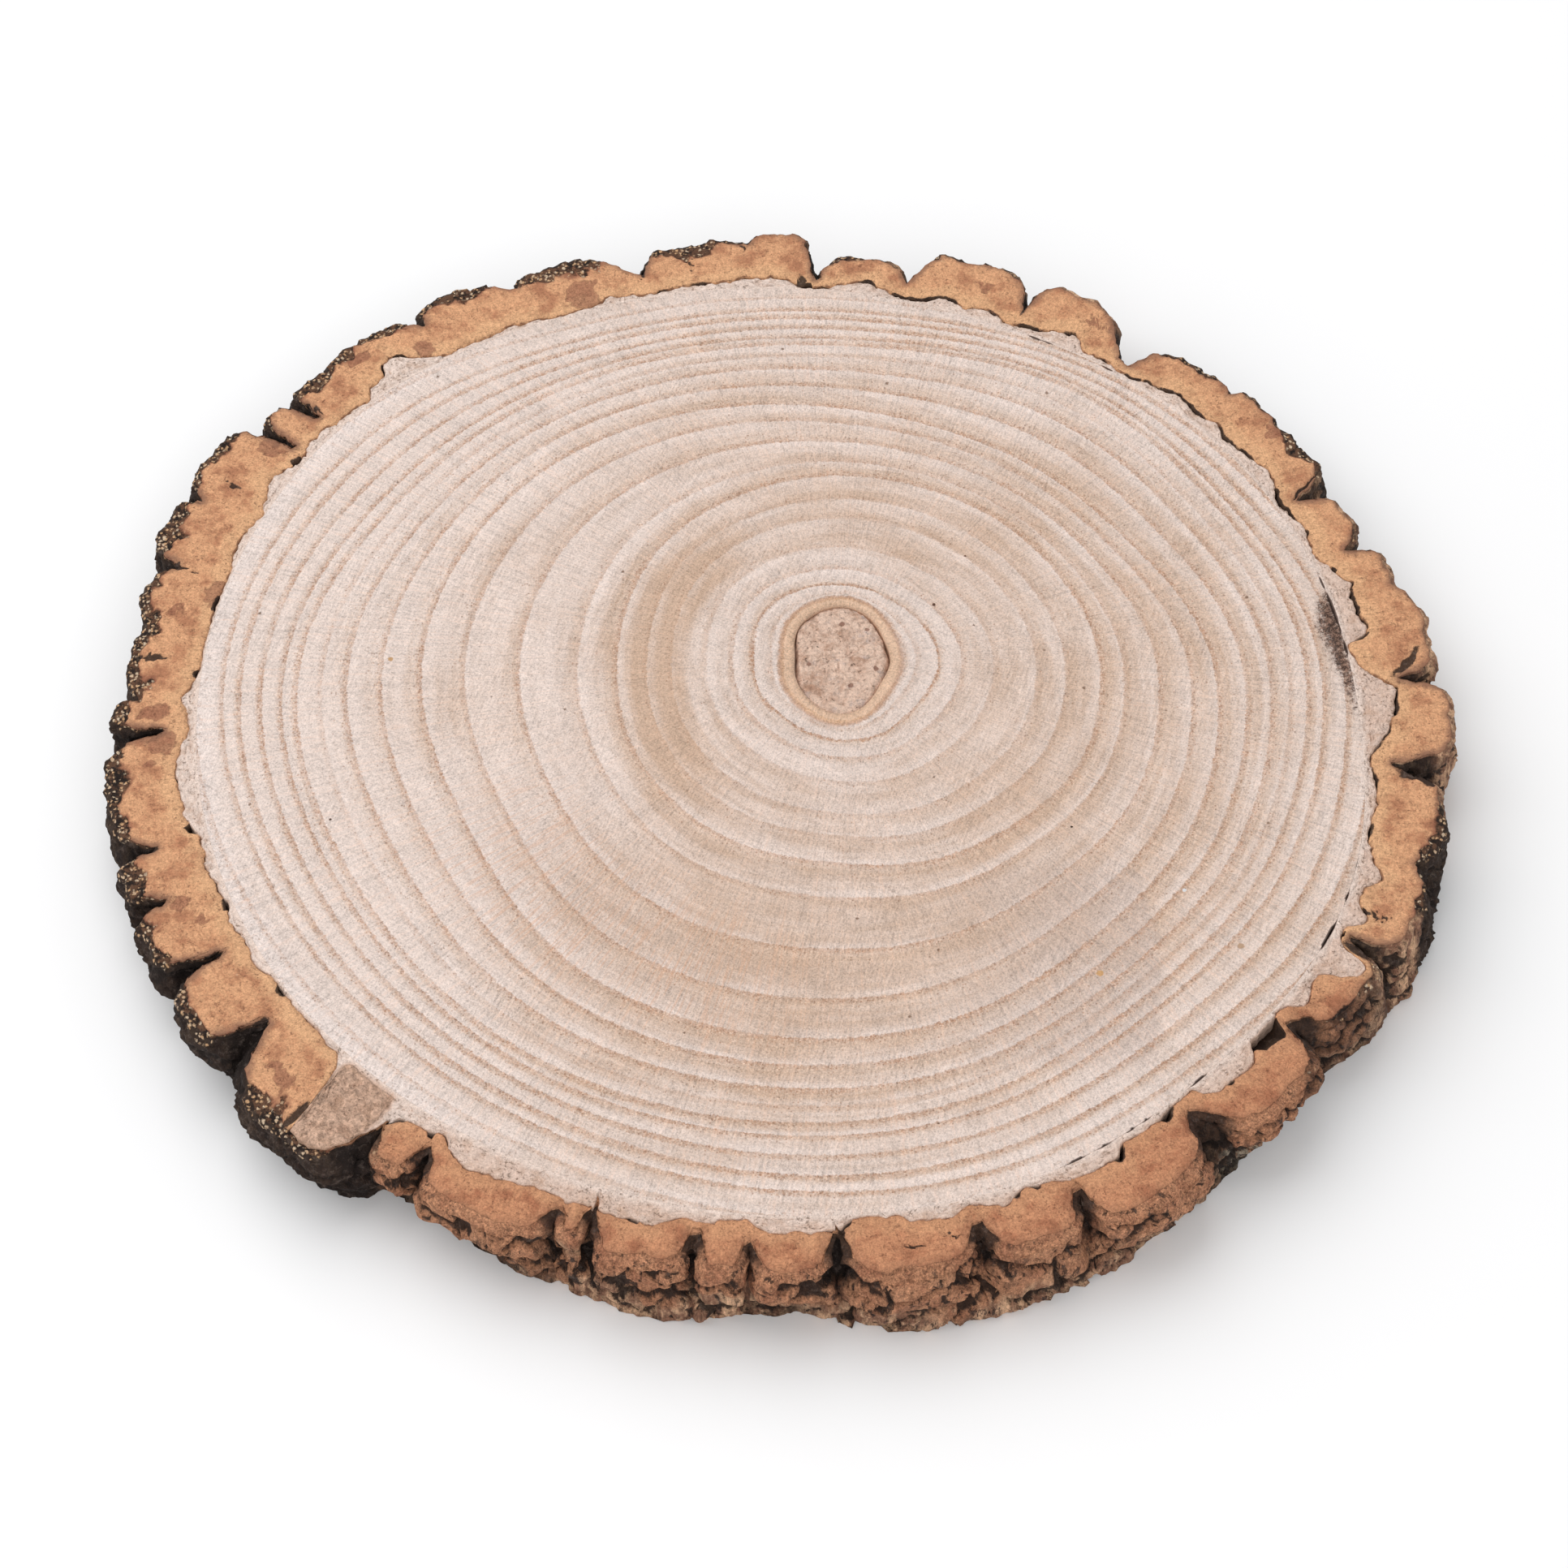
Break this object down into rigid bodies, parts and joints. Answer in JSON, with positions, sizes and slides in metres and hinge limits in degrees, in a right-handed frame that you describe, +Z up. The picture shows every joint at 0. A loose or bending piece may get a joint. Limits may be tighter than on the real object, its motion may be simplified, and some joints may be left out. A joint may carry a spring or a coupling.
{
  "type": "wood slice",
  "caption": "Flat round slice sawn across a tree trunk, with growth rings, an off-centre pith and thick furrowed bark round the rim.",
  "frame": {"origin": "on the lower sawn face, under the middle of the slice's outline in plan", "axes": "+Z up through the thickness, out of the upper sawn face; +X and +Y across the face, the pith towards +X and +Y of the middle"},
  "size_m": [0.3034, 0.2986, 0.023],
  "materials": {
    "wood": "sanded, unfinished end grain: pale sapwood with thin tan growth rings, matt",
    "inner_bark": "crumbly cream inner bark between the wood and the cork, matt",
    "bark": "cork bark: tan-orange where it is sawn, rough dark brown on the outside, matt",
    "pith": "dark crumbly pith, matt"
  },
  "bodies": {
    "root": {"wood_slice": "wood"}
  },
  "joints": []
}
